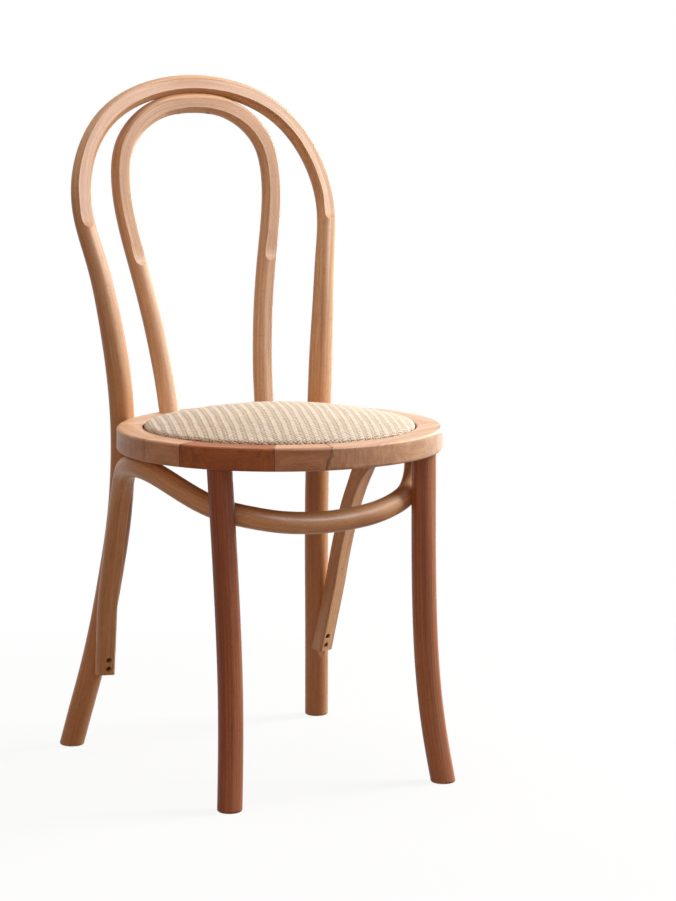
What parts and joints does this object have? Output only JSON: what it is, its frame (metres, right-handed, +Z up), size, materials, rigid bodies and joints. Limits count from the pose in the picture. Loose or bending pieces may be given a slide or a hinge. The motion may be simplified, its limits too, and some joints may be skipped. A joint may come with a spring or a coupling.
{
  "type": "bentwood bistro chair",
  "caption": "Bentwood side chair: looped back with an inner hoop, glued ring seat with a crowned woven pad, splayed legs and a bent underframe brace.",
  "frame": {"origin": "on the floor, under the middle of the chair's overall footprint", "axes": "+Z up, +Y towards the back, +X to the sitter's left seen from the front (the viewer's right); the chair is symmetric about X = 0 apart from the glue joints of the ring"},
  "size_m": [0.416, 0.4814, 0.8893],
  "materials": {
    "beech": "clear satin lacquer",
    "dowel": "raw",
    "plywood": "raw",
    "foam": "open-cell foam",
    "woven_cord": "woven twill of cream cord",
    "steel": "zinc-plated"
  },
  "bodies": {
    "root": {"back_hoop": "beech", "inner_hoop": "beech", "front_leg_left": "beech", "front_leg_right": "beech", "leg_brace": "beech", "seat_ring_left_short": "beech", "seat_ring_front_left": "beech", "seat_ring_front": "beech", "seat_ring_front_right": "beech", "seat_ring_right": "beech", "seat_ring_rear_right": "beech", "seat_ring_rear_left": "beech", "seat_ring_left": "beech", "inner_hoop_dowels": "dowel", "seat_board": "plywood", "seat_foam": "foam", "seat_cover": "woven_cord", "brace_end_screws": "steel", "brace_leg_screws": "steel", "brace_ring_screws": "steel", "hoop_top_screws": "steel", "rear_leg_bolts": "steel", "rear_leg_washers": "steel", "seat_board_screws": "steel"}
  },
  "joints": []
}
